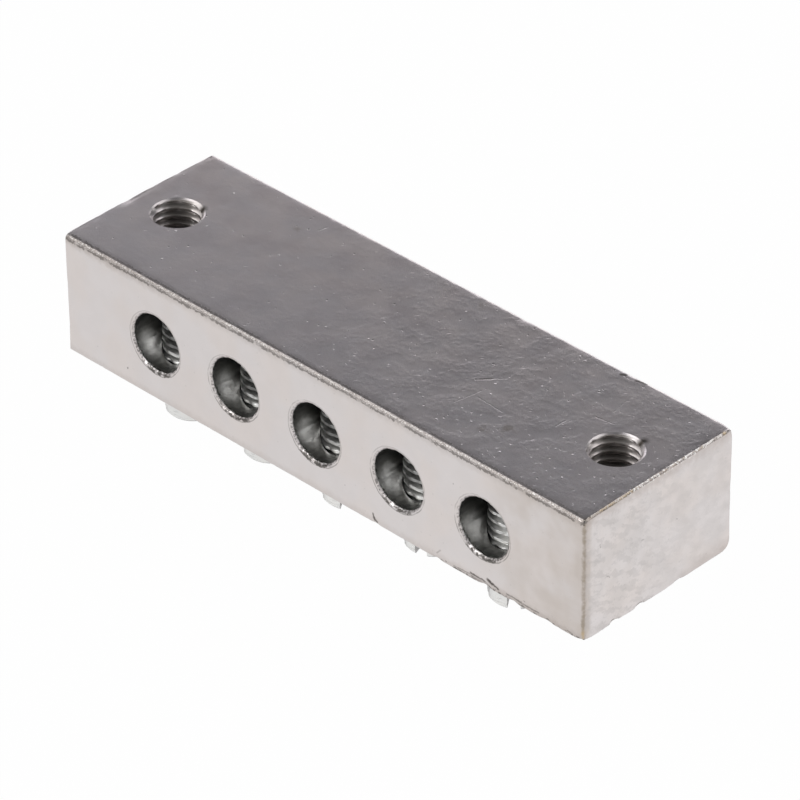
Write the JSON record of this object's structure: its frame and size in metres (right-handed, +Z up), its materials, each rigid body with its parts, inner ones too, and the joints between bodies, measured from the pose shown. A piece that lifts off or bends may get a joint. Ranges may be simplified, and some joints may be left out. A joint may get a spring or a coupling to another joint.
{
  "type": "earth terminal block",
  "caption": "Plated brass earth bar with a row of round wire holes in its front face, a slotted clamp screw into each hole from below, and a tapped fixing hole near each end.",
  "frame": {"origin": "middle of the mounting face, half way between the two fixing holes", "axes": "+X along the bar, +Y from the face with the wire holes to the back, +Z up out of the mounting face; the clamp screws point up from the underside"},
  "size_m": [0.06, 0.0176, 0.0149],
  "materials": {
    "plated_brass": "dull tin plate over brass, finely scratched, rubbed through to the brass on some edges",
    "screw_steel": "bright zinc plate"
  },
  "bodies": {
    "bar": {"terminal_bar": "plated_brass"},
    "screw_1": {"clamp_screw_1": "screw_steel"},
    "screw_2": {"clamp_screw_2": "screw_steel"},
    "screw_3": {"clamp_screw_3": "screw_steel"},
    "screw_4": {"clamp_screw_4": "screw_steel"},
    "screw_5": {"clamp_screw_5": "screw_steel"}
  },
  "joints": [
    {"name": "clamp_1", "type": "slide", "parent": "bar", "child": "screw_1", "axis": [0, 0, 1], "range_m": [-0.0048, 0.0004]},
    {"name": "clamp_2", "type": "slide", "parent": "bar", "child": "screw_2", "axis": [0, 0, 1], "range_m": [-0.0048, 0.00015]},
    {"name": "clamp_3", "type": "slide", "parent": "bar", "child": "screw_3", "axis": [0, 0, 1], "range_m": [-0.0048, 0.00025]},
    {"name": "clamp_4", "type": "slide", "parent": "bar", "child": "screw_4", "axis": [0, 0, 1], "range_m": [-0.0048, 0.0002]},
    {"name": "clamp_5", "type": "slide", "parent": "bar", "child": "screw_5", "axis": [0, 0, 1], "range_m": [-0.0048, 0.0006]}
  ]
}
